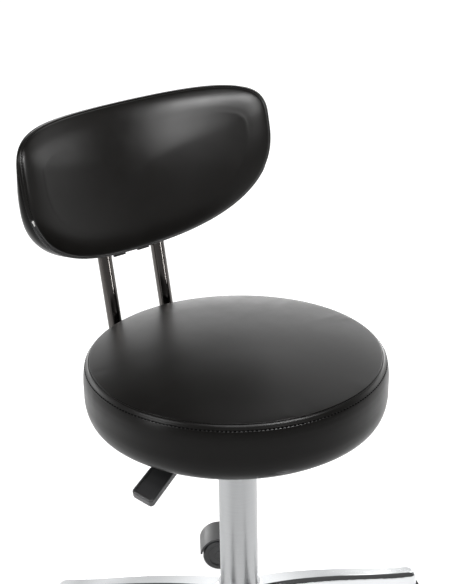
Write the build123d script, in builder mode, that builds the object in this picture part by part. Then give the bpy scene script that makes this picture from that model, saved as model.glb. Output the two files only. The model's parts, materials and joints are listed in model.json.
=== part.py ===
# Rolling stylist stool: padded round seat on a gas column with a padded lumbar backrest.
# Millimetres. Origin on the floor under the column, +Z up, front of the stool toward -Y.
from build123d import *
import math
import os

os.makedirs("parts", exist_ok=True)

# ---- driving dimensions: castors and base -------------------------------------------
WHEEL_R = 25.0
WHEEL_INNER = 8.5
WHEEL_OUTER = 25.0
AXLE_R = 3.0
TRAIL = 20.0
CASTOR_TOP = 60.0
PIVOT_R = 250.0
ARM_COUNT = 5
STEM_R = 5.5
SOCKET_R = 10.0
HUB_R = 31.0
HUB_BOTTOM = 68.0
HUB_TOP = 133.0
ARM_WALL = 3.0

# ---- driving dimensions: gas column -------------------------------------------------
COLUMN_R = 25.0
COLUMN_TOP = 313.0
CYLINDER_R = 14.0
CYLINDER_BOTTOM = 90.0
CYLINDER_TOP = 366.0
ROD_R = 5.0
STROKE = 140.0

# ---- driving dimensions: seat cushion -----------------------------------------------
SEAT_BASE = 390.0
SEAM_Z = 470.0
SEAM_R = 184.0
SEAT_MAX_R = 193.0
SEAT_MAX_Z = 434.0
SEAT_CROWN = 9.0
SEAT_BOTTOM_R = 166.0
SEAT_CORNER = 12.0
SKIN = 1.2
BOARD_R = 153.0
BOARD_TOP = 404.0
PLATE_BOLTS = [(-60, -60), (60, -60), (-60, 15), (60, 15)]
BACK_BOLTS = [(-58, 55), (58, 55), (-58, 128), (58, 128)]

# ---- driving dimensions: back support and backrest ----------------------------------
TUBE_R = 9.5
TUBE_X = 42.5
TUBE_Z = 377.5
TUBE_START_Y = 35.0
TUBE_BEND_R = 40.0
RECLINE = 10.9
BACK_Y = 225.8
BACK_Z = 677.3
BACK_CURVE_R = 335.0
BACK_HALF_W = 208.0
BACK_UP = 68.0
BACK_DOWN = 128.0
BACK_POWER_UP = 4.2
BACK_POWER_DOWN = 2.25
BACK_FRONT = 22.0
BACK_REAR = 41.0
REAR_CURVE_R = 272.0
TUBE_BEHIND = 21.4


def side_points(radius, start, end, count, z):
    """Points evenly spaced by angle around the Z axis."""
    points = []
    for i in range(count):
        angle = math.radians(start + (end - start) * i / count)
        points.append((radius * math.cos(angle), radius * math.sin(angle), z))
    return points


def save(builder, name):
    """Label one sub-part and write its STEP file."""
    builder.part.label = name
    export_step(builder.part, "parts/" + name + ".step")


# ======================================================================================
# Base: hub, five pressed arms, castor sockets and stems
# ======================================================================================
ARM_ANGLES = [-90.0 + 72.0 * k for k in range(ARM_COUNT)]

# Cast hub with a tapered bore that grips the column tube.
with BuildPart() as base_hub:
    with BuildSketch(Plane.XZ):
        with BuildLine():
            Polyline(
                (23.9, HUB_BOTTOM),
                (HUB_R - 2, HUB_BOTTOM),
                (HUB_R, HUB_BOTTOM + 2),
                (HUB_R, HUB_TOP - 3),
                (HUB_R - 3, HUB_TOP),
                (COLUMN_R, HUB_TOP),
                close=True,
            )
        make_face()
    revolve(axis=Axis.Z)
save(base_hub, "base_hub")


def arm_solid(wall, rounding):
    """Solid arm along +X: side outline cut to the plan outline, inset by wall."""
    end = PIVOT_R + 13.0 - wall
    tip = 13.0 - wall
    root = 17.0 - wall
    with BuildPart() as solid:
        with BuildSketch(Plane.XZ.offset(-25)):
            with BuildLine():
                Spline(
                    (20, 127 - wall),
                    (90, 121 - wall),
                    (180, 103 - wall),
                    (end, 87 - wall),
                    tangents=[(1, 0), (1, -0.12)],
                )
                Line((end, 87 - wall), (end, 68))
                Line((end, 68), (225, 68))
                Spline((225, 68), (120, 80), (20, 86), tangents=[(-1, 0.04), (-1, 0.0)])
                Line((20, 86), (20, 127 - wall))
            make_face()
        extrude(amount=50)
        with BuildSketch(Plane.XY):
            with BuildLine():
                Line((10, -root), (PIVOT_R, -tip))
                ThreePointArc((PIVOT_R, -tip), (PIVOT_R + tip, 0), (PIVOT_R, tip))
                Line((PIVOT_R, tip), (10, root))
                Line((10, root), (10, -root))
            make_face()
        extrude(amount=150, mode=Mode.INTERSECT)
        upper = [e for e in solid.edges() if e.center().Z > 84 and e.length > 20]
        upper = [e for e in upper if abs(e.center().Y) > 4 or e.center().X > PIVOT_R]
        fillet(upper, radius=rounding)
    return solid.part


# One pressed-steel arm: an inverted channel, rounded along its top edges.
with BuildPart() as arm_blank:
    add(arm_solid(0.0, 6.0))
    add(arm_solid(ARM_WALL, 3.0), mode=Mode.SUBTRACT)
    with BuildSketch(Plane.XY.offset(60)):
        Circle(HUB_R)
    extrude(amount=90, mode=Mode.SUBTRACT)

with BuildPart() as base_arms:
    for k in range(ARM_COUNT):
        add(arm_blank.part.rotate(Axis.Z, ARM_ANGLES[k]))
save(base_arms, "base_arms")

ARM_PIVOTS = side_points(PIVOT_R, -90.0, 270.0, ARM_COUNT, 0.0)

# Five welded sockets at the arm ends.
with BuildPart() as castor_sockets:
    with Locations(*[(p[0], p[1], 62.0) for p in ARM_PIVOTS]):
        Cylinder(SOCKET_R, 18, align=(Align.CENTER, Align.CENTER, Align.MIN))
        Cylinder(
            STEM_R + 0.25,
            18,
            align=(Align.CENTER, Align.CENTER, Align.MIN),
            mode=Mode.SUBTRACT,
        )
save(castor_sockets, "castor_sockets")

# Castor stem: shank with its spring grip ring, flange, and the journal with its riveted head.
with BuildPart() as stem_blank:
    with BuildSketch(Plane.XZ):
        with BuildLine():
            Polyline(
                (0, 31.5),
                (5.2, 31.5),
                (5.8, 32.2),
                (5.8, 33.95),
                (4.0, 33.95),
                (4.0, 60.05),
                (8.5, 60.05),
                (8.5, 62.0),
                (STEM_R, 62.0),
                (STEM_R, 70.0),
                (STEM_R + 0.25, 70.3),
                (STEM_R + 0.25, 72.7),
                (STEM_R, 73.0),
                (STEM_R, 79.0),
                (4.5, 80.0),
                (0, 80.0),
                close=True,
            )
        make_face()
    revolve(axis=Axis.Z)

with BuildPart() as castor_stems:
    for p in ARM_PIVOTS:
        add(stem_blank.part.translate(Vector(p[0], p[1], 0)))
save(castor_stems, "castor_stems")

# ======================================================================================
# Castors: hood, axle and two cupped wheels each, trailing along +X before placing
# ======================================================================================
with BuildPart() as hood_blank:
    with BuildSketch(Plane.XZ.offset(-7.5)):
        with Locations((TRAIL, 25)):
            Circle(18)
        with Locations((0, 46)):
            Rectangle(15, 24)
        with BuildLine():
            Polyline((-7.5, 40), (10, 52), (TRAIL, 52), (38, 40), (38, 25), (4, 18), close=True)
        make_face()
    extrude(amount=15)
    with BuildSketch(Plane.XZ.offset(-24.5)):
        with BuildLine():
            CenterArc((TRAIL, 25), 29.4, 8, 140)
            Line(
                (TRAIL + 29.4 * math.cos(math.radians(148)), 25 + 29.4 * math.sin(math.radians(148))),
                (TRAIL + 26.6 * math.cos(math.radians(148)), 25 + 26.6 * math.sin(math.radians(148))),
            )
            CenterArc((TRAIL, 25), 26.6, 148, -140)
            Line(
                (TRAIL + 26.6 * math.cos(math.radians(8)), 25 + 26.6 * math.sin(math.radians(8))),
                (TRAIL + 29.4 * math.cos(math.radians(8)), 25 + 29.4 * math.sin(math.radians(8))),
            )
        make_face()
    extrude(amount=49)
    with Locations((0, 0, 50)):
        Cylinder(9.5, 10, align=(Align.CENTER, Align.CENTER, Align.MIN))
    with Locations((0, 0, 34)):
        Cylinder(7.5, 16, align=(Align.CENTER, Align.CENTER, Align.MIN))
        Cylinder(
            4.05,
            30,
            align=(Align.CENTER, Align.CENTER, Align.MIN),
            mode=Mode.SUBTRACT,
        )
    with BuildSketch(Plane.XY.offset(0)):
        Circle(6.8)
    extrude(amount=34, mode=Mode.SUBTRACT)
    with BuildSketch(Plane.XZ.offset(-10)):
        with Locations((TRAIL, 25)):
            Circle(AXLE_R)
    extrude(amount=20, mode=Mode.SUBTRACT)

with BuildPart() as axle_blank:
    with BuildSketch(Plane.XZ.offset(-22)):
        with Locations((TRAIL, 25)):
            Circle(AXLE_R)
    extrude(amount=44)
    chamfer(axle_blank.faces().filter_by(Axis.Y).edges(), length=0.5)

with BuildPart() as wheel_blank:
    with BuildSketch(Plane.XY):
        with BuildLine():
            Polyline(
                (0, 22.3),
                (AXLE_R + 0.05, 22.3),
                (AXLE_R + 0.05, 8.0),
                (7.0, 8.0),
                (7.0, 20.5),
                (21.5, 20.5),
                (21.5, WHEEL_INNER),
                (24.0, WHEEL_INNER),
                (WHEEL_R, WHEEL_INNER + 1.2),
                (WHEEL_R, 22.2),
                (23.2, 24.2),
                (18.0, 24.6),
                (16.0, 23.2),
                (8.0, 23.2),
                (6.5, 24.2),
                (0, 24.6),
                close=True,
            )
        make_face()
    revolve(axis=Axis.Y)

CASTOR_TURN = [90.0, 72.0, 144.0, 36.0, 108.0]
wheel_left = wheel_blank.part.translate(Vector(TRAIL, 0, WHEEL_R))
wheel_right = wheel_blank.part.rotate(Axis.Z, 180).translate(Vector(TRAIL, 0, WHEEL_R))

for k in range(ARM_COUNT):
    spot = Vector(ARM_PIVOTS[k][0], ARM_PIVOTS[k][1], 0)
    turn = CASTOR_TURN[k]
    with BuildPart() as castor_hood:
        add(hood_blank.part.rotate(Axis.Z, turn).translate(spot))
    save(castor_hood, "castor_hood_" + str(k + 1))
    with BuildPart() as castor_axle:
        add(axle_blank.part.rotate(Axis.Z, turn).translate(spot))
    save(castor_axle, "castor_axle_" + str(k + 1))
    with BuildPart() as castor_wheel_a:
        add(wheel_left.rotate(Axis.Z, turn).translate(spot))
    save(castor_wheel_a, "castor_wheel_" + str(k + 1) + "a")
    with BuildPart() as castor_wheel_b:
        add(wheel_right.rotate(Axis.Z, turn).translate(spot))
    save(castor_wheel_b, "castor_wheel_" + str(k + 1) + "b")

# ======================================================================================
# Gas column: outer tube, guide sleeve, thrust bearing, piston and sliding cylinder
# ======================================================================================


def lathe(points):
    """Solid of revolution about Z from a closed radius-height outline."""
    with BuildPart() as turned:
        with BuildSketch(Plane.XZ):
            with BuildLine():
                Polyline(*points, close=True)
            make_face()
        revolve(axis=Axis.Z)
    return turned.part


with BuildPart() as column_tube:
    add(
        lathe(
            [
                (22.0, HUB_BOTTOM),
                (23.9, HUB_BOTTOM),
                (COLUMN_R, HUB_TOP),
                (COLUMN_R, COLUMN_TOP - 1),
                (COLUMN_R - 0.6, COLUMN_TOP),
                (23.0, COLUMN_TOP),
                (23.0, 140.0),
                (22.0, 128.0),
                (22.0, 73.0),
                (4.05, 73.0),
                (4.05, 70.0),
                (22.0, 70.0),
            ]
        )
    )
save(column_tube, "column_tube")

with BuildPart() as column_guide_sleeve:
    add(
        lathe(
            [
                (CYLINDER_R + 0.08, 233.0),
                (23.0, 233.0),
                (23.0, COLUMN_TOP),
                (24.6, COLUMN_TOP),
                (24.6, COLUMN_TOP + 2.5),
                (23.0, COLUMN_TOP + 4),
                (CYLINDER_R + 0.8, COLUMN_TOP + 4),
                (CYLINDER_R + 0.08, COLUMN_TOP + 3),
            ]
        )
    )
save(column_guide_sleeve, "column_guide_sleeve")

with BuildPart() as thrust_washer_lower:
    add(lathe([(4.3, 73.0), (14.0, 73.0), (14.0, 74.5), (4.3, 74.5)]))
save(thrust_washer_lower, "thrust_washer_lower")

with BuildPart() as thrust_balls:
    with Locations(*side_points(9.5, 0.0, 360.0, 10, 76.0)):
        Sphere(1.5)
save(thrust_balls, "thrust_balls")

with BuildPart() as thrust_washer_upper:
    add(lathe([(4.0, 77.52), (14.0, 77.52), (14.0, 79.0), (4.0, 79.0)]))
save(thrust_washer_upper, "thrust_washer_upper")

with BuildPart() as bump_stop:
    add(lathe([(ROD_R, 79.0), (12.5, 79.0), (12.0, 86.0), (10.0, 88.5), (ROD_R, 88.5)]))
save(bump_stop, "bump_stop")

with BuildPart() as piston_rod:
    add(
        lathe(
            [
                (0, 68.6),
                (3.6, 68.6),
                (4.0, 69.0),
                (4.0, 69.1),
                (3.3, 69.1),
                (3.3, 69.8),
                (4.0, 69.8),
                (4.0, 79.0),
                (ROD_R, 79.0),
                (ROD_R, 325.0),
                (3.5, 325.0),
                (3.5, 335.0),
                (0, 335.0),
            ]
        )
    )
save(piston_rod, "piston_rod")

with BuildPart() as piston_head:
    add(lathe([(3.5, 325.0), (11.93, 325.0), (11.93, 333.0), (3.5, 333.0)]))
save(piston_head, "piston_head")

with BuildPart() as retaining_clip:
    add(lathe([(3.3, 69.1), (7.5, 69.1), (7.5, 69.8), (3.3, 69.8)]))
    with Locations((8, 0, 69.5)):
        Box(9, 3.2, 2, mode=Mode.SUBTRACT)
save(retaining_clip, "retaining_clip")

with BuildPart() as gas_cylinder:
    add(
        lathe(
            [
                (ROD_R + 0.05, CYLINDER_BOTTOM),
                (CYLINDER_R - 1, CYLINDER_BOTTOM),
                (CYLINDER_R, CYLINDER_BOTTOM + 1),
                (CYLINDER_R, 326.0),
                (13.3, CYLINDER_TOP),
                (4.05, CYLINDER_TOP),
                (4.05, 338.0),
                (12.0, 338.0),
                (12.0, 97.0),
                (ROD_R + 0.05, 97.0),
            ]
        )
    )
save(gas_cylinder, "gas_cylinder")

# Valve pin with a domed top that the lever rolls over.
with BuildPart() as release_pin:
    add(
        lathe(
            [
                (0, 346.0),
                (4.0, 346.0),
                (4.0, 369.3),
                (3.5, 369.9),
                (2.5, 370.5),
                (1.2, 370.98),
                (0, 370.98),
            ]
        )
    )
save(release_pin, "release_pin")

# ======================================================================================
# Seat mechanism: taper socket, bracket, plate and lift lever
# ======================================================================================
PIVOT_X = -30.0
LEVER_Z = 375.0
LEVER_SWEEP = 13.0
LEVER_DROP = 22.0
PADDLE_ROLL = 14.0
PADDLE_THICKNESS = 12.0

with BuildPart() as taper_socket:
    add(lathe([(CYLINDER_R, 326.0), (19.0, 326.0), (19.0, 368.0), (13.3, 368.0), (13.3, 366.0)]))
save(taper_socket, "taper_socket")

with BuildPart() as lift_bracket:
    with BuildSketch(Plane.XY.offset(343)):
        with Locations((-4, 0)):
            RectangleRounded(72, 53, 4)
        Circle(19.0, mode=Mode.SUBTRACT)
    extrude(amount=2.5)
    for side in (-1, 1):
        with BuildSketch(Plane.XZ.offset(side * 25.25 - 1.25)):
            with BuildLine():
                Polyline((-36, 343), (28, 343), (32, 387), (-40, 387), close=True)
            make_face()
            with Locations((PIVOT_X, LEVER_Z)):
                Circle(3.0, mode=Mode.SUBTRACT)
        extrude(amount=2.5)
save(lift_bracket, "lift_bracket")

with BuildPart() as lever_pivot_pin:
    with BuildSketch(Plane.XZ.offset(-28.5)):
        with Locations((PIVOT_X, LEVER_Z)):
            Circle(3.0)
    extrude(amount=57)
save(lever_pivot_pin, "lever_pivot_pin")

with BuildPart() as seat_plate:
    with BuildSketch(Plane.XY.offset(387)):
        with Locations((0, -23.5)):
            RectangleRounded(150, 103, 10)
        with Locations(*PLATE_BOLTS):
            Circle(3.2, mode=Mode.SUBTRACT)
    extrude(amount=3)
save(seat_plate, "seat_plate")

# Lever directions: outward in plan, then outward and down to the paddle.
PLAN_DIR = Vector(
    -math.cos(math.radians(LEVER_SWEEP)),
    -math.sin(math.radians(LEVER_SWEEP)),
    0,
)
DOWN_DIR = Vector(
    PLAN_DIR.X * math.cos(math.radians(LEVER_DROP)),
    PLAN_DIR.Y * math.cos(math.radians(LEVER_DROP)),
    -math.sin(math.radians(LEVER_DROP)),
)
BEND_ONE = Vector(-50, 0, LEVER_Z)
BEND_TWO = BEND_ONE + PLAN_DIR * 31.0
ROD_END = BEND_TWO + DOWN_DIR * 82.0
PADDLE_START = BEND_TWO + DOWN_DIR * 45.0
BEND_RUN = 12.0


def bend_middle(before, corner, after, run):
    """Middle of the arc tangent to both directions, starting and ending run from the corner."""
    half = math.radians(before.get_angle(after)) / 2
    radius = run / math.tan(half)
    return corner + (after - before).normalized() * (radius / math.cos(half) - radius)


with BuildPart() as lever_rod:
    inward = Vector(-1, 0, 0)
    with BuildLine():
        Line((7, 0, LEVER_Z), BEND_ONE - inward * BEND_RUN)
        ThreePointArc(
            BEND_ONE - inward * BEND_RUN,
            bend_middle(inward, BEND_ONE, PLAN_DIR, BEND_RUN),
            BEND_ONE + PLAN_DIR * BEND_RUN,
        )
        Line(BEND_ONE + PLAN_DIR * BEND_RUN, BEND_TWO - PLAN_DIR * BEND_RUN)
        ThreePointArc(
            BEND_TWO - PLAN_DIR * BEND_RUN,
            bend_middle(PLAN_DIR, BEND_TWO, DOWN_DIR, BEND_RUN),
            BEND_TWO + DOWN_DIR * BEND_RUN,
        )
        Line(BEND_TWO + DOWN_DIR * BEND_RUN, ROD_END)
    with BuildSketch(Plane(origin=(7, 0, LEVER_Z), x_dir=(0, 1, 0), z_dir=(-1, 0, 0))):
        Circle(4.0)
    sweep()
    with BuildSketch(Plane.XZ.offset(-8)):
        with Locations((PIVOT_X, LEVER_Z)):
            Circle(7.0)
    extrude(amount=16)
    with BuildSketch(Plane.XZ.offset(-9)):
        with Locations((PIVOT_X, LEVER_Z)):
            Circle(3.05)
    extrude(amount=18, mode=Mode.SUBTRACT)
save(lever_rod, "lever_rod")

# The paddle's broad face leans forward by PADDLE_ROLL about the rod.
ROD_UP = Vector(
    PLAN_DIR.X * math.sin(math.radians(LEVER_DROP)),
    PLAN_DIR.Y * math.sin(math.radians(LEVER_DROP)),
    math.cos(math.radians(LEVER_DROP)),
)
PADDLE_UP = ROD_UP * math.cos(math.radians(PADDLE_ROLL)) + ROD_UP.cross(DOWN_DIR) * math.sin(
    math.radians(PADDLE_ROLL)
)
PADDLE_PLANE = Plane(origin=PADDLE_START, x_dir=DOWN_DIR, z_dir=PADDLE_UP)

with BuildPart() as lever_paddle:
    with BuildSketch(PADDLE_PLANE.offset(-PADDLE_THICKNESS / 2)):
        with BuildLine():
            Polyline((-5, -13), (14, -17.5), (54, -16), (54, 15.4), (-5, 11.6), close=True)
        paddle_face = make_face()
        fillet(paddle_face.vertices(), radius=5)
    extrude(amount=PADDLE_THICKNESS)
    broad = [f for f in lever_paddle.faces() if abs(f.normal_at().dot(PADDLE_UP)) > 0.99]
    fillet([e for f in broad for e in f.edges()], radius=2.2)
    with BuildSketch(PADDLE_PLANE.offset(PADDLE_THICKNESS / 2 - 0.8)):
        with BuildLine():
            Polyline((1, -9.5), (14, -13.5), (50.5, -12.4), (50.5, 11.8), (1, 8.2), close=True)
        recess_face = make_face()
        fillet(recess_face.vertices(), radius=3)
    extrude(amount=2, mode=Mode.SUBTRACT)
    with BuildSketch(Plane(origin=PADDLE_START - DOWN_DIR * 8, z_dir=DOWN_DIR)):
        Circle(4.0)
    extrude(amount=45, mode=Mode.SUBTRACT)
save(lever_paddle, "lever_paddle")

# ======================================================================================
# Seat cushion: board, foam, cover, dust cover and fixings
# ======================================================================================


def cushion(inset):
    """Solid of the round cushion with its outside moved inward by inset."""
    base = SEAT_BASE + 0.8 + inset
    with BuildPart() as body:
        with BuildSketch(Plane.XZ):
            with BuildLine():
                Line((0, base), (SEAT_BOTTOM_R - SEAT_CORNER, base))
                Spline(
                    (SEAT_BOTTOM_R - SEAT_CORNER, base),
                    (SEAT_BOTTOM_R + 7 - 0.7 * inset, SEAT_BASE + 9 + 0.6 * inset),
                    (SEAT_MAX_R - inset, SEAT_MAX_Z),
                    tangents=[(1, 0), (0, 1)],
                )
                Spline(
                    (SEAT_MAX_R - inset, SEAT_MAX_Z),
                    (SEAM_R - 0.95 * inset, SEAM_Z - 0.6 * inset),
                    tangents=[(0, 1), (-0.5, 0.87)],
                )
                Spline(
                    (SEAM_R - 0.95 * inset, SEAM_Z - 0.6 * inset),
                    (150, SEAM_Z + 5.6 - inset),
                    (0, SEAM_Z + SEAT_CROWN - inset),
                    tangents=[(-0.85, 0.4), (-1, 0)],
                )
                Line((0, SEAM_Z + SEAT_CROWN - inset), (0, base))
            make_face()
        revolve(axis=Axis.Z)
    return body.part


HEM_R = 146.0

with BuildPart() as seat_cover:
    add(cushion(0.0))
    add(cushion(SKIN), mode=Mode.SUBTRACT)
    with Locations((0, 0, SEAT_BASE)):
        Cylinder(HEM_R, 3, align=(Align.CENTER, Align.CENTER, Align.MIN), mode=Mode.SUBTRACT)
save(seat_cover, "seat_cover")

with BuildPart() as seat_dust_cover:
    with Locations((0, 0, SEAT_BASE)):
        Cylinder(HEM_R + 8, 0.8, align=(Align.CENTER, Align.CENTER, Align.MIN))
        with Locations(*PLATE_BOLTS, *BACK_BOLTS):
            Cylinder(3.2, 0.8, align=(Align.CENTER, Align.CENTER, Align.MIN), mode=Mode.SUBTRACT)
save(seat_dust_cover, "seat_dust_cover")

with BuildPart() as seat_board:
    add(
        lathe(
            [
                (0, SEAT_BASE + 0.8),
                (HEM_R, SEAT_BASE + 0.8),
                (HEM_R, SEAT_BASE + 2.0),
                (BOARD_R, SEAT_BASE + 2.0),
                (BOARD_R, BOARD_TOP),
                (0, BOARD_TOP),
            ]
        )
    )
    with Locations(*[(p[0], p[1], SEAT_BASE) for p in PLATE_BOLTS]):
        Cylinder(4.0, 20, align=(Align.CENTER, Align.CENTER, Align.MIN), mode=Mode.SUBTRACT)
    with Locations(*[(p[0], p[1], SEAT_BASE) for p in BACK_BOLTS]):
        Cylinder(2.8, 11, align=(Align.CENTER, Align.CENTER, Align.MIN), mode=Mode.SUBTRACT)
save(seat_board, "seat_board")

with BuildPart() as seat_foam:
    add(cushion(SKIN))
    with Locations((0, 0, SEAT_BASE)):
        Cylinder(
            BOARD_R,
            BOARD_TOP - SEAT_BASE,
            align=(Align.CENTER, Align.CENTER, Align.MIN),
            mode=Mode.SUBTRACT,
        )
    with Locations(*[(p[0], p[1], BOARD_TOP) for p in PLATE_BOLTS]):
        Cylinder(9.0, 1.2, align=(Align.CENTER, Align.CENTER, Align.MIN), mode=Mode.SUBTRACT)
save(seat_foam, "seat_foam")

with BuildPart() as seat_tee_nuts:
    with Locations(*[(p[0], p[1], BOARD_TOP) for p in PLATE_BOLTS]):
        Cylinder(9.0, 1.2, align=(Align.CENTER, Align.CENTER, Align.MIN))
        Cylinder(4.0, 9, align=(Align.CENTER, Align.CENTER, Align.MAX))
        Cylinder(3.0, 30, mode=Mode.SUBTRACT)


def hex_screw(shank_r, length, head_r, head_h):
    """Hex-head screw standing on its head, shank up along +Z from z = 0."""
    with BuildPart() as screw:
        with BuildSketch(Plane.XY.offset(-head_h)):
            RegularPolygon(head_r, 6)
        extrude(amount=head_h)
        Cylinder(shank_r, length, align=(Align.CENTER, Align.CENTER, Align.MIN))
    return screw.part


seat_screw = hex_screw(3.0, 16.5, 5.8, 4.0)
with BuildPart() as seat_bolts:
    for p in PLATE_BOLTS:
        add(seat_screw.translate(Vector(p[0], p[1], 387.0)))
save(seat_bolts, "seat_bolts")

# ======================================================================================
# Back support: plate, two bent tubes, plugs and brace
# ======================================================================================
SIN_R = math.sin(math.radians(RECLINE))
COS_R = math.cos(math.radians(RECLINE))
BACK_C = Vector(0, BACK_Y, BACK_Z)
UP_DIR = Vector(0, SIN_R, COS_R)
REAR_DIR = Vector(0, COS_R, -SIN_R)
FACE_PLANE = Plane(origin=BACK_C, x_dir=(1, 0, 0), z_dir=(0, -COS_R, SIN_R))
RING_PLANE = Plane(origin=BACK_C, x_dir=(1, 0, 0), z_dir=(0, SIN_R, COS_R))
TUBE_TOP_V = -35.0

tube_corner = BACK_C + REAR_DIR * TUBE_BEHIND
tube_corner = tube_corner + UP_DIR * ((TUBE_Z - tube_corner.Z) / COS_R)
tube_end = BACK_C + REAR_DIR * TUBE_BEHIND + UP_DIR * TUBE_TOP_V


def back_tube(x):
    """One bent support tube at sideways position x."""
    with BuildPart() as tube:
        with BuildLine(Plane.YZ.offset(x)):
            FilletPolyline(
                (TUBE_START_Y, TUBE_Z),
                (tube_corner.Y, TUBE_Z),
                (tube_end.Y, tube_end.Z),
                radius=TUBE_BEND_R,
            )
        start = Plane(origin=(x, TUBE_START_Y, TUBE_Z), x_dir=(1, 0, 0), z_dir=(0, 1, 0))
        with BuildSketch(start):
            Circle(TUBE_R)
            Circle(TUBE_R - 1.5, mode=Mode.SUBTRACT)
        sweep()
    return tube.part


with BuildPart() as back_tube_left:
    add(back_tube(-TUBE_X))
save(back_tube_left, "back_tube_left")

with BuildPart() as back_tube_right:
    add(back_tube(TUBE_X))
save(back_tube_right, "back_tube_right")

with BuildPart() as tube_end_caps:
    for x in (-TUBE_X, TUBE_X):
        cap_plane = Plane(origin=(x, TUBE_START_Y, TUBE_Z), x_dir=(1, 0, 0), z_dir=(0, 1, 0))
        with BuildSketch(cap_plane.offset(-2)):
            Circle(TUBE_R)
        extrude(amount=2)
        with BuildSketch(cap_plane):
            Circle(TUBE_R - 1.5)
        extrude(amount=10)
save(tube_end_caps, "tube_end_caps")

with BuildPart() as back_mount_plate:
    with BuildSketch(Plane.XY.offset(387)):
        with Locations((0, 95)):
            RectangleRounded(146, 110, 8)
        with Locations(*BACK_BOLTS):
            Circle(3.2, mode=Mode.SUBTRACT)
    extrude(amount=3)
save(back_mount_plate, "back_mount_plate")

wood_screw = hex_screw(2.8, 14.0, 5.2, 3.5)
with BuildPart() as back_mount_screws:
    for p in BACK_BOLTS:
        add(wood_screw.translate(Vector(p[0], p[1], 387.0)))
save(back_mount_screws, "back_mount_screws")

# ======================================================================================
# Backrest: curved board, foam, cover, rear shell and fixings
# ======================================================================================
PLATE_REAR_R = math.hypot(TUBE_X, BACK_CURVE_R + TUBE_BEHIND) - TUBE_R
PLATE_FRONT_R = PLATE_REAR_R - 3.0
BOARD_FRONT_R = PLATE_FRONT_R - 10.0


def outline_points(inset, depth, count):
    """Backrest outline seen from the curve's axis, projected on a plane at depth from it."""
    half_w = BACK_HALF_W - inset
    points = []
    for i in range(count):
        angle = 2 * math.pi * i / count
        c = math.cos(angle)
        s = math.sin(angle)
        power = BACK_POWER_UP if s > 0 else BACK_POWER_DOWN
        height = (BACK_UP if s > 0 else BACK_DOWN) - inset
        u = half_w * math.copysign(abs(c) ** (2 / power), c)
        v = height * math.copysign(abs(s) ** (2 / power), s)
        points.append((depth * math.tan(u / BACK_CURVE_R), v))
    return points


def back_slab(inset, inner_r, outer_r):
    """Curved slab of the backrest outline between two radii about the curve's axis."""
    with BuildPart() as slab:
        for depth in (BACK_CURVE_R * 0.7, BACK_CURVE_R * 1.25):
            with BuildSketch(FACE_PLANE.offset(BACK_CURVE_R - depth)):
                with BuildLine():
                    Spline(*outline_points(inset, depth, 16), periodic=True)
                make_face()
        loft(ruled=True)
        with BuildSketch(RING_PLANE.offset(-180)):
            with Locations((0, -BACK_CURVE_R)):
                Circle(outer_r)
                Circle(inner_r, mode=Mode.SUBTRACT)
        extrude(amount=360, mode=Mode.INTERSECT)
    return slab.part


def end_rims(part, radius):
    """Edges of a slab lying on the cylinder of the given radius about the curve's axis."""
    axis_point = BACK_C - REAR_DIR * BACK_CURVE_R
    rims = []
    for edge in part.edges():
        near = 0
        for t in (0.1, 0.5, 0.9):
            off = edge.position_at(t) - axis_point
            across = off - UP_DIR * off.dot(UP_DIR)
            near += abs(across.length - radius) < 0.05
        if near == 3:
            rims.append(edge)
    return rims


def pad_solid(inset, rear_r):
    """Backrest pad back to rear_r, rounded along its front edge, moved inward by inset."""
    front_r = BACK_CURVE_R - BACK_FRONT + inset
    with BuildPart() as pad:
        add(back_slab(inset, front_r, rear_r))
        fillet(end_rims(pad.part, front_r), radius=16.0 - inset)
    return pad.part


# Cover: open at the back, where its edge is stapled around the board.
with BuildPart() as back_cover:
    add(pad_solid(0.0, PLATE_FRONT_R))
    add(pad_solid(SKIN, PLATE_FRONT_R + 2), mode=Mode.SUBTRACT)
save(back_cover, "back_cover")

with BuildPart() as back_foam:
    add(pad_solid(SKIN + 0.6, BOARD_FRONT_R))
save(back_foam, "back_foam")


def back_radial(x, v, radius):
    """Plane on the backrest's curve at sideways x and height v, facing the rear."""
    turn = math.asin(x / BACK_CURVE_R)
    radial = Vector(math.sin(turn), 0, 0) + REAR_DIR * math.cos(turn)
    origin = BACK_C - REAR_DIR * BACK_CURVE_R + UP_DIR * v + radial * radius
    return Plane(origin=origin, x_dir=UP_DIR, z_dir=radial)


BACK_SCREWS = [(-22, -15), (22, -15), (-22, -75), (22, -75)]

# Moulded ply board with stepped holes that sink the tee nuts.
with BuildPart() as back_board:
    add(back_slab(SKIN, BOARD_FRONT_R, PLATE_FRONT_R))
    for x, v in BACK_SCREWS:
        with BuildSketch(back_radial(x, v, BOARD_FRONT_R - 2)):
            Circle(3.5)
        extrude(amount=14, mode=Mode.SUBTRACT)
        with BuildSketch(back_radial(x, v, BOARD_FRONT_R - 2)):
            Circle(8.0)
        extrude(amount=3.4, mode=Mode.SUBTRACT)
save(back_board, "back_board")

with BuildPart() as tee_nuts:
    add(seat_tee_nuts.part)
    for x, v in BACK_SCREWS:
        with BuildSketch(back_radial(x, v, BOARD_FRONT_R + 0.2)):
            Circle(8.0)
            Circle(2.5, mode=Mode.SUBTRACT)
        extrude(amount=1.2)
        with BuildSketch(back_radial(x, v, BOARD_FRONT_R + 1.4)):
            Circle(3.5)
            Circle(2.5, mode=Mode.SUBTRACT)
        extrude(amount=7.5)
save(tee_nuts, "tee_nuts")

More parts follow.
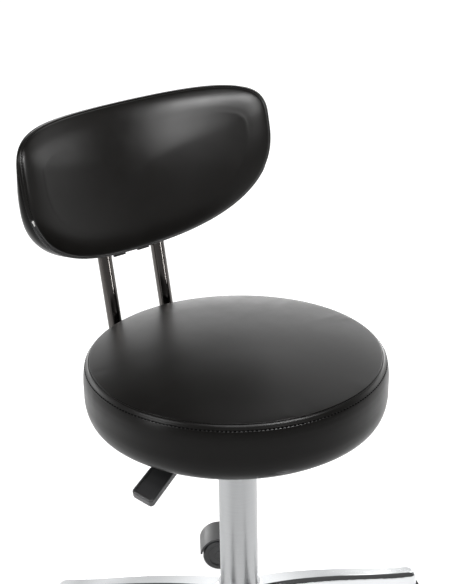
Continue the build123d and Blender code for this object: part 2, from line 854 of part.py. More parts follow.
# Curved steel plate welded to the tubes and screwed to the board.
with BuildPart() as back_plate:
    with BuildSketch(FACE_PLANE.offset(60)):
        with Locations((0, -50)):
            RectangleRounded(126, 96, 10)
    extrude(amount=-140)
    with BuildSketch(RING_PLANE.offset(-100)):
        with Locations((0, -BACK_CURVE_R)):
            Circle(PLATE_REAR_R)
            Circle(PLATE_FRONT_R, mode=Mode.SUBTRACT)
    extrude(amount=200, mode=Mode.INTERSECT)
    for x, v in BACK_SCREWS:
        with BuildSketch(back_radial(x, v, PLATE_FRONT_R).offset(-1)):
            Circle(2.7)
        extrude(amount=6, mode=Mode.SUBTRACT)
save(back_plate, "back_plate")

with BuildPart() as back_screws:
    for x, v in BACK_SCREWS:
        with BuildSketch(back_radial(x, v, PLATE_REAR_R)):
            Circle(4.6)
        extrude(amount=2.8)
        with BuildSketch(back_radial(x, v, PLATE_REAR_R).offset(-12)):
            Circle(2.5)
        extrude(amount=12)
save(back_screws, "back_screws")

# Flat brace welded between the tubes, with two tabs that reach below the rear shell.
BRACE_HALF = TUBE_X - TUBE_R
with BuildPart() as tube_brace:
    with BuildSketch(FACE_PLANE.offset(1.5 - TUBE_BEHIND)):
        with Locations((0, -96)):
            Rectangle(2 * BRACE_HALF, 24)
        with Locations((-19, -121), (19, -121)):
            Rectangle(18, 30)
    extrude(amount=-3)
save(tube_brace, "tube_brace")

# Rear shell: vaulted, upholstered cover over the plate and tube ends.
REAR_VAULT_R = 400.0
REAR_VAULT_V = -75.0


def rear_vault(inset):
    """Barrel-shaped body whose outside is the rear surface moved inward by inset."""
    side_plane = Plane(origin=BACK_C, x_dir=REAR_DIR, z_dir=(1, 0, 0))
    spine = BACK_REAR - REAR_CURVE_R
    top = BACK_REAR - inset
    up = 150.0
    fall_up = REAR_VAULT_R - math.sqrt(REAR_VAULT_R**2 - (up - REAR_VAULT_V) ** 2)
    fall_down = REAR_VAULT_R - math.sqrt(REAR_VAULT_R**2 - (-up - REAR_VAULT_V) ** 2)
    with BuildPart() as vault:
        with BuildSketch(side_plane):
            with BuildLine():
                Line((spine, -up), (top - fall_down, -up))
                ThreePointArc((top - fall_down, -up), (top, REAR_VAULT_V), (top - fall_up, up))
                Line((top - fall_up, up), (spine, up))
                Line((spine, up), (spine, -up))
            make_face()
        revolve(axis=Axis(BACK_C + REAR_DIR * spine, UP_DIR))
    return vault.part


def shell_solid(inset):
    """Solid of the rear shell, its outside moved inward by inset, open to the board."""
    with BuildPart() as solid:
        add(back_slab(8.0 + inset, PLATE_FRONT_R, BACK_CURVE_R + 60))
        add(rear_vault(inset), mode=Mode.INTERSECT)
    return solid.part


with BuildPart() as back_rear_shell:
    add(shell_solid(0.0))
    add(shell_solid(2.5), mode=Mode.SUBTRACT)
    for x in (-TUBE_X, TUBE_X):
        with BuildLine():
            Line(tube_end - UP_DIR * 60 + Vector(x, 0, 0), tube_end - UP_DIR * 190 + Vector(x, 0, 0))
        with BuildSketch(
            Plane(origin=tube_end - UP_DIR * 60 + Vector(x, 0, 0), x_dir=(1, 0, 0), z_dir=UP_DIR * -1)
        ):
            Circle(TUBE_R + 0.6)
        sweep(mode=Mode.SUBTRACT)
    with BuildSketch(FACE_PLANE.offset(2.4 - TUBE_BEHIND)):
        with Locations((-19, -125), (19, -125)):
            Rectangle(20, 40)
    extrude(amount=-4.8, mode=Mode.SUBTRACT)
save(back_rear_shell, "back_rear_shell")
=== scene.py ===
import json
import math

import bmesh
import bpy
import numpy as np
from mathutils import Matrix, Vector


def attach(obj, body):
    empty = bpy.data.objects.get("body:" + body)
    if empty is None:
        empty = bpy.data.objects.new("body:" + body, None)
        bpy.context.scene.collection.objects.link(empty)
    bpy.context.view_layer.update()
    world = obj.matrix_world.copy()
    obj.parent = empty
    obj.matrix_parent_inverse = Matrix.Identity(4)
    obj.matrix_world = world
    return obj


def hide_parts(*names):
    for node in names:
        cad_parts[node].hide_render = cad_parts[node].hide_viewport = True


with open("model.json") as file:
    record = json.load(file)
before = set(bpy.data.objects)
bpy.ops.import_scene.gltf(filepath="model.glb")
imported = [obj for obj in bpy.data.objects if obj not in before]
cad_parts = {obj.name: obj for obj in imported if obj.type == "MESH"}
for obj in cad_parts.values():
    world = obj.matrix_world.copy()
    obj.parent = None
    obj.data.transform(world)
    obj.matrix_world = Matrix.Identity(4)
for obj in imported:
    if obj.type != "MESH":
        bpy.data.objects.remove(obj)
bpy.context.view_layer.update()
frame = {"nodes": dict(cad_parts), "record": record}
NODES = frame["nodes"]
TURN = 2 * math.pi

# ---- sizes shared with the CAD ------------------------------------------------------
SEAM_R, SEAM_Z = 0.1834, 0.4702  # seam round the seat's top
BAND_R, BAND_Z = 0.1884, 0.4638  # lower edge of the sewn band below it
SEAT_WIDEST_Z = 0.4340
RECLINE = math.radians(10.9)
BACK_C = np.array([0.0, 0.2258, 0.6773])  # middle of the backrest
RC = 0.335  # radius the backrest curves at
HALF_W, UP_H, DOWN_H = 0.2082, 0.0679, 0.1280  # reach of its outline sideways, up and down
POW_UP, POW_DOWN = 4.22, 2.25  # squareness of the outline's upper and lower half
UP_DIR = np.array([0.0, math.sin(RECLINE), math.cos(RECLINE)])
REAR_DIR = np.array([0.0, math.cos(RECLINE), -math.sin(RECLINE)])
REAR_W, REAR_R = 0.041, 0.272  # depth of the rear panel, and the radius it curves at
VAULT_R, VAULT_V = 0.400, -0.075  # its curve from top to bottom, and where that is deepest


# =====================================================================================
# Mesh helpers
# =====================================================================================
def add_object(name, data):
    """A new object for some data, linked to the scene."""
    ob = bpy.data.objects.new(name, data)
    bpy.context.scene.collection.objects.link(ob)
    return ob


def mesh_object(name, verts, faces, smooth=True):
    """A new mesh object from points and faces."""
    me = bpy.data.meshes.new(name)
    me.from_pydata([tuple(map(float, v)) for v in verts], [], faces)
    me.update()
    if smooth:
        me.shade_smooth()
    return add_object(name, me)


def grid_faces(rows, cols, base=0):
    """Quads of a grid wrapped round each row, whose first point has number base."""
    out = []
    for i in range(rows - 1):
        low, high = base + i * cols, base + (i + 1) * cols
        for j in range(cols):
            k = (j + 1) % cols
            out.append((low + j, low + k, high + k, high + j))
    return out


def tube_faces(rings, sides, base=0):
    """Faces of a tube made of rings of points, with one flat face at each end."""
    last = base + (rings - 1) * sides
    ends = [tuple(base + k for k in reversed(range(sides))), tuple(last + k for k in range(sides))]
    return grid_faces(rings, sides, base) + ends


def capped_grid(name, points):
    """Object from a rows x cols x 3 array wrapped round its rows, with fans at the ends."""
    rows, cols = points.shape[:2]
    start, end = rows * cols, rows * cols + 1
    last = (rows - 1) * cols
    faces = grid_faces(rows, cols)
    faces += [(start, (j + 1) % cols, j) for j in range(cols)]
    faces += [(end, last + j, last + (j + 1) % cols) for j in range(cols)]
    verts = np.vstack([points.reshape(-1, 3), points[0].mean(axis=0), points[-1].mean(axis=0)])
    return mesh_object(name, verts, [tuple(reversed(f)) for f in faces])


def noise_field(shape, seed):
    """Smooth random field over a wrapped grid, from a fixed seed."""
    waves, fewest_round, most_round = 10, 1, 5
    rng = np.random.default_rng(seed)
    rows, cols = shape
    v = np.linspace(0, 1, rows)[:, None]
    u = np.linspace(0, TURN, cols, endpoint=False)[None, :]
    out = np.zeros(shape)
    for _ in range(waves):
        k = rng.integers(fewest_round, most_round + 1)
        m = rng.uniform(0.5, 5)
        a, b = rng.uniform(0, TURN, 2)
        out += np.sin(k * u + a) * np.cos(m * math.pi * v + b) / math.sqrt(waves)
    return out


def path_length(points):
    """Distance along a line of points, from the first to each."""
    return np.concatenate([[0], np.cumsum(np.linalg.norm(np.diff(points, axis=0), axis=1))])


def read_at(d, s, values):
    """Values (n x 3), known at the distances s, read at distance d."""
    return np.array([np.interp(d, s, values[:, k]) for k in range(3)])


def unit(v):
    """A vector at length 1."""
    return v / np.linalg.norm(v)


def catmull(points, per):
    """Smooth curve through points, with per samples between each pair (centripetal)."""
    p = np.array(points, float)
    ext = np.vstack([2 * p[0] - p[1], p, 2 * p[-1] - p[-2]])
    out = []
    for i in range(1, len(ext) - 2):
        p0, p1, p2, p3 = ext[i - 1], ext[i], ext[i + 1], ext[i + 2]
        t0 = 0.0
        t1 = t0 + max(np.linalg.norm(p1 - p0), 1e-9) ** 0.5
        t2 = t1 + max(np.linalg.norm(p2 - p1), 1e-9) ** 0.5
        t3 = t2 + max(np.linalg.norm(p3 - p2), 1e-9) ** 0.5
        for t in np.linspace(t1, t2, per, endpoint=False):
            a1 = (t1 - t) / (t1 - t0) * p0 + (t - t0) / (t1 - t0) * p1
            a2 = (t2 - t) / (t2 - t1) * p1 + (t - t1) / (t2 - t1) * p2
            a3 = (t3 - t) / (t3 - t2) * p2 + (t - t2) / (t3 - t2) * p3
            b1 = (t2 - t) / (t2 - t0) * a1 + (t - t0) / (t2 - t0) * a2
            b2 = (t3 - t) / (t3 - t1) * a2 + (t - t1) / (t3 - t1) * a3
            out.append((t2 - t) / (t2 - t1) * b1 + (t - t1) / (t2 - t1) * b2)
    out.append(p[-1])
    return np.array(out)


# =====================================================================================
# Materials: procedural only
# =====================================================================================
def new_material(name, color, metallic, rough):
    """A Principled material, its node tree and its shader node."""
    m = bpy.data.materials.new(name)
    m.use_nodes = True
    nt = m.node_tree
    b = nt.nodes["Principled BSDF"]
    b.inputs["Base Color"].default_value = (*color, 1)
    b.inputs["Metallic"].default_value = metallic
    b.inputs["Roughness"].default_value = rough
    b.inputs["IOR"].default_value = 1.5
    return m, nt, b


def add_noise(nt, scale, detail=3.0, rough=0.55):
    """Noise in the object's own space."""
    tc = nt.nodes.new("ShaderNodeTexCoord")
    n = nt.nodes.new("ShaderNodeTexNoise")
    n.inputs["Scale"].default_value = scale
    n.inputs["Detail"].default_value = detail
    n.inputs["Roughness"].default_value = rough
    nt.links.new(tc.outputs["Object"], n.inputs["Vector"])
    return n


def add_stretched_noise(nt, scale_xyz, detail):
    """Noise in the object's own space, with its own scale along each axis."""
    tc = nt.nodes.new("ShaderNodeTexCoord")
    mp = nt.nodes.new("ShaderNodeMapping")
    mp.inputs["Scale"].default_value = scale_xyz
    n = nt.nodes.new("ShaderNodeTexNoise")
    n.inputs["Scale"].default_value = 1.0
    n.inputs["Detail"].default_value = detail
    nt.links.new(tc.outputs["Object"], mp.inputs["Vector"])
    nt.links.new(mp.outputs["Vector"], n.inputs["Vector"])
    return n


def drive(nt, b, socket, texture, low, high, span=(0.3, 0.7)):
    """Feeds a shader input from a texture, from low to high over a span of its values."""
    r = nt.nodes.new("ShaderNodeValToRGB")
    for element, position, value in zip(r.color_ramp.elements, span, (low, high)):
        element.position = position
        element.color = (*value, 1) if hasattr(value, "__len__") else (value, value, value, 1)
    nt.links.new(texture.outputs["Fac"], r.inputs["Fac"])
    nt.links.new(r.outputs["Color"], b.inputs[socket])


def shades(color, low, high):
    """A darker and a lighter shade of a colour, by their factors."""
    return [v * low for v in color], [min(v * high, 1) for v in color]


def add_bump(nt, b, texture, strength, distance, previous=None):
    """Bump from a texture, laid over a previous bump where there is one."""
    bump = nt.nodes.new("ShaderNodeBump")
    bump.inputs["Strength"].default_value = strength
    bump.inputs["Distance"].default_value = distance
    nt.links.new(texture.outputs["Fac"], bump.inputs["Height"])
    if previous is not None:
        nt.links.new(previous.outputs["Normal"], bump.inputs["Normal"])
    nt.links.new(bump.outputs["Normal"], b.inputs["Normal"])
    return bump


def leatherette(name, tint, rough_low, rough_high):
    """Smooth black coated cloth: fine grain, faint cloudy gloss."""
    m, nt, b = new_material(name, tint, metallic=0.0, rough=0.4)
    b.inputs["Specular IOR Level"].default_value = 0.13
    full_span = (0.08, 0.92)  # a narrower ramp saturates, and its edges show as specks
    drive(nt, b, "Base Color", add_noise(nt, 14.0, 4.0), *shades(tint, 0.78, 1.20), full_span)
    gloss = add_noise(nt, 38.0, 5.0, 0.6)
    drive(nt, b, "Roughness", gloss, rough_low, rough_high, full_span)
    pores = add_bump(nt, b, add_noise(nt, 900.0, 2.0), 0.05, 0.0001)
    add_bump(nt, b, add_noise(nt, 260.0, 3.0), 0.05, 0.0003, pores)
    return m


def chrome(name, color, rough):
    """Plated metal with faint uneven polish."""
    spread = 0.02
    m, nt, b = new_material(name, color, metallic=1.0, rough=rough)
    polish = add_noise(nt, 55.0, 3.0)
    drive(nt, b, "Roughness", polish, max(rough - spread, 0.01), rough + spread)
    drive(nt, b, "Base Color", add_noise(nt, 9.0, 2.0), *shades(color, 0.93, 1.04))
    return m


def plastic(name, color, low, high, texture_scale=420.0):
    """Moulded plastic with a fine spark-eroded texture."""
    m, nt, b = new_material(name, color, metallic=0.0, rough=0.45)
    n = add_noise(nt, 30.0, 4.0)
    drive(nt, b, "Roughness", n, low, high)
    drive(nt, b, "Base Color", n, *shades(color, 0.85, 1.15))
    add_bump(nt, b, add_noise(nt, texture_scale, 3.0), 0.25, 0.00015)
    return m


def satin_metal(name, color, low, high):
    """Ground or lacquered metal: fine circumferential tone and gloss changes."""
    m, nt, b = new_material(name, color, metallic=1.0, rough=0.35)
    n = add_stretched_noise(nt, (30.0, 30.0, 900.0), 4.0)
    drive(nt, b, "Roughness", n, low, high)
    drive(nt, b, "Base Color", n, *shades(color, 0.96, 1.03))
    return m


def plywood(name):
    """Board seen at its cut edge: thin plies, with grain along them."""
    m, nt, b = new_material(name, (0.55, 0.40, 0.24), metallic=0.0, rough=0.6)
    n = add_stretched_noise(nt, (4.0, 60.0, 700.0), 6.0)
    drive(nt, b, "Base Color", n, (0.42, 0.28, 0.15), (0.66, 0.50, 0.32))
    add_bump(nt, b, n, 0.3, 0.0003)
    return m


def cloth_material(name, color):
    """Matt, with a fine woven or open-celled pattern."""
    m, nt, b = new_material(name, color, metallic=0.0, rough=0.9)
    tc = nt.nodes.new("ShaderNodeTexCoord")
    w = nt.nodes.new("ShaderNodeTexWave")
    w.inputs["Scale"].default_value = 500.0
    w.inputs["Distortion"].default_value = 2.0
    nt.links.new(tc.outputs["Object"], w.inputs["Vector"])
    drive(nt, b, "Base Color", w, *shades(color, 0.7, 1.3), (0, 1))
    add_bump(nt, b, w, 0.4, 0.0003)
    return m


MAT = {
    "black_leatherette": leatherette("leatherette", (0.0024, 0.0022, 0.0020), 0.25, 0.38),
    "chromed_steel": chrome("bright_chrome", (0.56, 0.57, 0.58), 0.09),
    "black_chrome": chrome("dark_chrome", (0.090, 0.084, 0.080), 0.09),
    "satin_steel": satin_metal("column_grey", (0.36, 0.365, 0.37), 0.30, 0.38),
    "zinc_steel": satin_metal("zinc", (0.70, 0.70, 0.68), 0.28, 0.40),
    "black_paint": plastic("black_paint", (0.02, 0.02, 0.02), 0.35, 0.48, 160.0),
    "grey_foam": cloth_material("foam", (0.40, 0.40, 0.38)),
    "black_cloth": cloth_material("dust_cloth", (0.02, 0.02, 0.02)),
    "plywood": plywood("plywood"),
    "black_plastic": plastic("black_plastic", (0.022, 0.022, 0.023), 0.34, 0.46),
    "wheel_plastic": plastic("wheel_plastic", (0.018, 0.018, 0.019), 0.38, 0.5),
    "black_rubber": plastic("rubber", (0.015, 0.015, 0.015), 0.6, 0.75),
    "acetal": plastic("acetal", (0.03, 0.03, 0.03), 0.3, 0.4),
}
for row in frame["record"]["subparts"]:
    ob = NODES[row["node"]]
    ob.data.materials.clear()
    ob.data.materials.append(MAT[row["material_slot"]])
THREAD = plastic("thread", (0.0012, 0.0012, 0.0013), 0.85, 0.95, 900.0)
THREAD.node_tree.nodes["Principled BSDF"].inputs["Specular IOR Level"].default_value = 0.0

# =====================================================================================
# Camera
# =====================================================================================
CAM_POS = Vector((-1.0562, -1.3432, 1.3009))
CAM_FWD = Vector((0.56207, 0.72384, -0.40017)).normalized()
CAM_UP = Vector((0.26092, 0.30394, 0.91626)).normalized()
cam_data = bpy.data.cameras.new("camera")
cam_data.sensor_fit = "VERTICAL"
cam_data.sensor_height = 36.0
cam_data.lens = 93.748
cam_data.clip_start = 0.05
cam = add_object("camera", cam_data)
right = CAM_FWD.cross(CAM_UP).normalized()
up = right.cross(CAM_FWD).normalized()
cam_axes = Matrix((right, up, -CAM_FWD)).transposed().to_4x4()
cam.matrix_world = Matrix.Translation(CAM_POS) @ cam_axes
bpy.context.scene.camera = cam

# =====================================================================================
# Cloth: a coarse copy of each skin is inflated, and the dense skin follows it
# =====================================================================================
CLOTH_CAP = 0.012  # furthest that a point may move
SOFTEN_TIMES = 14


def inflate(points, pinned_rows, pressure, frames, shrink):
    """Runs Cloth on a coarse closed skin (rows x cols x 3); returns its displacements."""
    rows, cols = points.shape[:2]
    ob = capped_grid("cloth_copy", points)
    group = ob.vertex_groups.new(name="pin")
    for r in pinned_rows:
        group.add([r * cols + j for j in range(cols)], 1.0, "REPLACE")
    mod = ob.modifiers.new("cloth", "CLOTH")
    st = mod.settings
    st.quality = 6
    st.mass = 0.4
    st.tension_stiffness = 25
    st.compression_stiffness = 15
    st.shear_stiffness = 10
    st.bending_stiffness = 0.8
    st.use_pressure = True
    st.uniform_pressure_force = pressure
    st.shrink_min = shrink
    st.vertex_group_mass = "pin"
    st.pin_stiffness = 1.0
    st.effector_weights.gravity = 0.0
    mod.collision_settings.use_collision = False
    mod.collision_settings.use_self_collision = False
    mod.point_cache.frame_start = 1
    mod.point_cache.frame_end = frames + 1
    scene = bpy.context.scene
    for f in range(1, frames + 1):
        scene.frame_set(f)
    deps = bpy.context.evaluated_depsgraph_get()
    me = ob.evaluated_get(deps).to_mesh()
    co = np.empty(len(me.vertices) * 3)
    me.vertices.foreach_get("co", co)
    moved = co.reshape(-1, 3)[: rows * cols].reshape(rows, cols, 3) - points
    ob.evaluated_get(deps).to_mesh_clear()
    scene.frame_set(1)
    data = ob.data
    bpy.data.objects.remove(ob)
    bpy.data.meshes.remove(data)
    length = np.linalg.norm(moved, axis=2, keepdims=True)
    return moved * np.minimum(1.0, CLOTH_CAP / np.maximum(length, 1e-9))


def stretch_field(field, coarse_pos, dense_pos, cols):
    """Carries a displacement field from a coarse grid to a dense one."""
    n = field.shape[1]
    spec = np.fft.rfft(field, axis=1)
    spec[:, n // 8 :] = 0
    # a wave round the skin must die away towards the centre, or it meets there in a pleat
    reach = np.clip(coarse_pos, 0.0, 1.0)[:, None, None]
    spec = spec * reach ** (np.arange(spec.shape[1]) / 2.0)[None, :, None]
    wide = np.zeros((field.shape[0], cols // 2 + 1, 3), complex)
    wide[:, : spec.shape[1]] = spec
    smooth = np.fft.irfft(wide, n=cols, axis=1) * (cols / n)
    out = np.empty((len(dense_pos), cols, 3))
    for j in range(cols):
        for k in range(3):
            out[:, j, k] = np.interp(dense_pos, coarse_pos, smooth[:, j, k])
    return out


def outward_lift(raw, coarse_pos, normals, dense_pos, soften_to):
    """How far the cloth's displacements lift each point of the dense grid.

    Neighbouring rows are averaged up to soften_to, so that the coarse rows leave no rings.
    """
    field = stretch_field(raw, coarse_pos, dense_pos, normals.shape[1])
    lift = np.sum(field * normals, axis=2)
    inside = (dense_pos < soften_to)[:, None]
    for _ in range(SOFTEN_TIMES):
        wide = np.pad(lift, ((1, 1), (0, 0)), mode="edge")
        lift = np.where(inside, (wide[:-2] + 2 * lift + wide[2:]) / 4, lift)
    return lift


def surface_normals(points, outward_from):
    """Unit normals of a wrapped grid, pointing away from a centre point."""
    du = np.roll(points, -1, axis=1) - np.roll(points, 1, axis=1)
    dv = np.gradient(points, axis=0)
    n = np.cross(du, dv)
    n /= np.maximum(np.linalg.norm(n, axis=2, keepdims=True), 1e-12)
    sign = np.sign(np.sum(n * (points - outward_from), axis=2, keepdims=True))
    return n * np.sign(np.sum(sign))


def groove(path_pos, at, depth, width):
    """Depth of a groove across rows, given each row's distance along the section."""
    return depth * np.exp(-(((path_pos - at) / width) ** 2))


def row_line(points, normals, pos, at):
    """Line round a wrapped grid at a section position, with its normals."""
    i = int(np.searchsorted(pos, at))
    i = max(1, min(i, len(pos) - 1))
    t = (at - pos[i - 1]) / max(pos[i] - pos[i - 1], 1e-9)
    return points[i - 1] * (1 - t) + points[i] * t, normals[i - 1] * (1 - t) + normals[i] * t


def stitches(name, line, normals, pitch, length, radius, lift=0.0002):
    """Thread along a closed line of points: one short bent capsule for each stitch."""
    rings, sides = 5, 6
    end_taper, step = 0.55, 1e-5
    closed = np.vstack([line, line[:1]])
    closed_normals = np.vstack([normals, normals[:1]])
    s = path_length(closed)
    count = int(round(s[-1] / pitch))
    verts, faces = [], []
    for i in range(count):
        mid = (i + 0.5) * s[-1] / count
        faces += tube_faces(rings, sides, len(verts))
        for r in range(rings):
            q = r / (rings - 1)
            d = mid + (q - 0.5) * length
            p = read_at(d % s[-1], s, closed)
            t = unit(read_at((d + step) % s[-1], s, closed) - p)
            side = unit(np.cross(t, read_at(d % s[-1], s, closed_normals)))
            out = np.cross(side, t)
            rad = radius * (end_taper if r in (0, rings - 1) else 1.0)
            h = lift - radius * 1.3 * (2 * q - 1) ** 4  # both ends dive into the skin
            for k in range(sides):
                a = TURN * k / sides
                verts.append(p + out * (h + rad * math.sin(a)) + side * rad * math.cos(a))
    ob = mesh_object(name, verts, faces)
    ob.data.materials.append(THREAD)
    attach(ob, "seat")


# =====================================================================================
# Seat cushion
# =====================================================================================
# A section position runs 0 to 1 over the top, 1 to 2 over the sewn band, 2 to 3 down to
# the widest height and 3 to 4 round to the hem.
TOP_RISE, TOP_PUFF = 0.0048, 0.0045
SIDE_BASE_R, SIDE_PUFF = 0.1906, 0.0024
SEAM_ROLL, SEAM_ROLL_WIDTH = 0.0008, 0.006
BAND_BOW = 0.0003
SEAT_WAVE, PUCKERS = 0.00035, 26
SEAM_GROOVE, BAND_GROOVE = (0.0011, 0.0005), (0.0005, 0.0007)  # depth, width
UPPER_SIDE = catmull(
    [(BAND_R, BAND_Z), (0.1901, 0.4574), (0.19080, 0.4470), (SIDE_BASE_R, SEAT_WIDEST_Z)], 40
)
LOWER_SIDE = catmull(
    [
        (SIDE_BASE_R, SEAT_WIDEST_Z),
        (0.1903, 0.4185),
        (0.1864, 0.4042),
        (0.1792, 0.3950),
        (0.1695, 0.3910),
        (0.1580, 0.3904),
        (0.1460, 0.3906),
    ],
    30,
)


def seat_section(counts):
    """Radius-height rows from the crown to the hem, and the section position of each."""
    rows, pos = [], []
    n0, n1, n2, n3 = counts
    for i in range(n0):
        q = (i + 1) / n0
        q = 1 - (1 - q) ** 1.8  # rows crowd toward the seam
        r = SEAM_R * q
        edge = (SEAM_R - r) / SEAM_ROLL_WIDTH
        z = SEAM_Z + TOP_RISE * (1 - q**2.0) + SEAM_ROLL * (1 - math.exp(-edge * 3))
        rows.append((r, z))
        pos.append(q)
    for i in range(n1):
        q = (i + 1) / n1
        bow = BAND_BOW * math.sin(math.pi * q)
        r = SEAM_R + (BAND_R - SEAM_R) * q + bow * 0.85
        rows.append((r, SEAM_Z + (BAND_Z - SEAM_Z) * q + bow * 0.5))
        pos.append(1 + q)
    for part, n, base, crowd in ((UPPER_SIDE, n2, 2, 1.4), (LOWER_SIDE, n3, 3, 1)):
        s = path_length(part)
        for i in range(n):
            q = (i + 1) / n
            at = q**crowd * s[-1]
            rows.append((np.interp(at, s, part[:, 0]), np.interp(at, s, part[:, 1])))
            pos.append(base + q**crowd)
    return np.array(rows), np.array(pos)


def lathe_grid(section, cols):
    """A section turned about the column's axis."""
    a = np.linspace(0, TURN, cols, endpoint=False)
    r, z = section[:, 0][:, None], section[:, 1][:, None]
    return np.stack([r * np.cos(a), r * np.sin(a), np.repeat(z, cols, 1)], axis=2)


SEAT_COLS, SEAT_COARSE_COLS = 720, 96
TOP_ROWS, BAND_ROWS = 110, 26
SIDE_END, HEM_START = 3.75, 3.72  # section positions: the side's fullness ends, the hem is held
coarse_rc, coarse_pos = seat_section((22, 3, 6, 14))  # rows in each part of the section
dense_rc, dense_pos = seat_section((TOP_ROWS, BAND_ROWS, 44, 40))
dense = lathe_grid(dense_rc, SEAT_COLS)
inner = np.array([0, 0, 0.43])
dense_normals = surface_normals(dense, inner)
pins = [
    i
    for i, p in enumerate(coarse_pos)
    if abs(p - 1) < 1e-6 or abs(p - 2) < 1e-6 or p > HEM_START
]
coarse = lathe_grid(coarse_rc, SEAT_COARSE_COLS)
raw = inflate(coarse, pins, pressure=4.0, frames=20, shrink=0.0)
lift = outward_lift(raw, coarse_pos, dense_normals, dense_pos, soften_to=0.96)
# the cloth gives the shape of the fullness, and TOP_PUFF and SIDE_PUFF give its size
top = dense_pos <= 1
side = (dense_pos > 2) & (dense_pos < SIDE_END)
gain_top = TOP_PUFF / max(lift[top][:12].mean(), 1e-4)
gain_side = SIDE_PUFF / max(lift[side].mean(axis=1).max(), 1e-4)
lift = lift * np.where(top, gain_top, gain_side)[:, None]
seat_pts = dense + dense_normals * lift[:, :, None]

theta = np.linspace(0, TURN, SEAT_COLS, endpoint=False)
run = path_length(dense_rc)
seam_run = run[TOP_ROWS - 1]
band_run = run[TOP_ROWS + BAND_ROWS - 1]
wave = noise_field((len(dense_pos), SEAT_COLS), 11) * SEAT_WAVE
wave *= (np.clip(dense_pos / 0.8, 0, 1) ** 2)[:, None]
pucker = np.zeros((len(dense_pos), SEAT_COLS))
rng = np.random.default_rng(5)
for _ in range(PUCKERS):  # small puckers on both sides of the sewn band
    centre = rng.uniform(0, TURN)
    width = rng.uniform(0.030, 0.060)
    height = rng.uniform(0.00005, 0.00022) * rng.choice([-1, 1])
    reach = rng.uniform(0.006, 0.014)
    d = (theta - centre + math.pi) % TURN - math.pi
    across = np.exp(-((d / width) ** 2))[None, :]
    if rng.uniform() < 0.5:
        off = np.clip(seam_run - run, 0, None)
        mask = (run <= seam_run)[:, None]
    else:
        off = np.clip(run - band_run, 0, None)
        mask = (run >= band_run)[:, None]
    pucker += height * across * ((off / reach) * np.exp(1 - off / reach))[:, None] * mask
carve = groove(run, seam_run, *SEAM_GROOVE) + groove(run, band_run, *BAND_GROOVE)
calm = np.clip((3.7 - dense_pos) / 0.4, 0, 1)[:, None]  # fades out toward the hem
shift = (wave + pucker) * calm - carve[:, None]
seat_pts = seat_pts + dense_normals * shift[:, :, None]
seat_cushion = capped_grid("seat_cushion", seat_pts)
seat_cushion.data.materials.append(MAT["black_leatherette"])
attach(seat_cushion, "seat")
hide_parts("seat_cover", "seat_foam")

final_normals = surface_normals(seat_pts, inner)
line, nrm = row_line(seat_pts, final_normals, run, seam_run)
stitches("seat_stitch_top", line, nrm, pitch=0.0050, length=0.0028, radius=0.00036, lift=0.0004)
line, nrm = row_line(seat_pts, final_normals, run, band_run)
stitches("seat_stitch_band", line, nrm, pitch=0.0050, length=0.0034, radius=0.00066, lift=0.0004)


# =====================================================================================
# Backrest pad: front panel, sewn edge band and rear panel in one closed skin
# =====================================================================================
# A section position runs 0 to 1 over the flat of the front, 1 to 2 round its edge, 2 to 3
# over the sewn band, 3 to 4 round the rear edge and 4 to 5 over the rear panel.
def back_outline(phi, inset):
    """Arc length and height of the outline, moved inward by inset."""
    c, s = np.cos(phi), np.sin(phi)
    power = np.where(s > 0, POW_UP, POW_DOWN)
    tall = np.where(s > 0, UP_H, DOWN_H) - inset
    u = (HALF_W - inset) * np.sign(c) * np.abs(c) ** (2 / power)
    v = tall * np.sign(s) * np.abs(s) ** (2 / power)
    return u, v


def even_angles(cols):
    """Outline angles that space points evenly by length, just inside the outline."""
    fine = np.linspace(0, TURN, 6001)
    u, v = back_outline(fine, 0.003)
    s = np.concatenate([[0], np.cumsum(np.hypot(np.diff(u), np.diff(v)))])
    return np.interp(np.linspace(0, s[-1], cols, endpoint=False), s, fine)


def to_space(u, v, w):
    """Point at arc length u and height v, w behind the middle surface."""
    rho = RC + w
    x = rho * np.sin(u / RC)
    y = rho * np.cos(u / RC) - RC
    base = BACK_C + v[..., None] * UP_DIR + y[..., None] * REAR_DIR
    base[..., 0] += x
    return base


def rear_depth(u, v):
    """How far behind the middle surface the rear panel lies."""
    fall = VAULT_R - np.sqrt(VAULT_R**2 - (v - VAULT_V) ** 2)
    r = REAR_R - fall
    c = RC + REAR_W - REAR_R
    ang = u / RC
    return c * np.cos(ang) + np.sqrt(np.maximum(r**2 - (c * np.sin(ang)) ** 2, 1e-6)) - RC


# Edges are rows of (distance in from the outline, depth behind the middle surface).
BACK_MID_V = -0.022  # height that both panels' rows close in on
FRONT_IN, FRONT_W = 0.034, -0.0166
FRONT_EDGE = catmull(
    [
        (FRONT_IN, FRONT_W),
        (0.0250, -0.0156),
        (0.0165, -0.0139),
        (0.0094, -0.0115),
        (0.0048, -0.0091),
        (0.0022, -0.0066),
    ],
    16,
)
BAND_EDGE = np.array([(0.0022, -0.0066), (0.0009, -0.0040), (0.0006, -0.0010)])
REAR_EDGE_IN = 0.026
REAR_CLOSE = 0.97  # share of the way to its middle that the rear panel's rows reach
FRONT_DOME, FRONT_PUFF, REAR_PUFF = 0.0030, 0.0055, 0.0015
BACK_WAVE = 0.0004
FRONT_GROOVE, REAR_GROOVE = (0.0007, 0.0009), (0.0009, 0.0009)  # depth, width


def edge_rows(phi, edge, places, last):
    """Rows round the outline along an edge, whose points lie at the given places."""
    cols, rows = len(phi), []
    for q in places:
        inset = np.interp(q * last, edge[0], edge[1][:, 0])
        w = np.interp(q * last, edge[0], edge[1][:, 1])
        rows.append(to_space(*back_outline(phi, inset), np.full(cols, w)))
    return rows


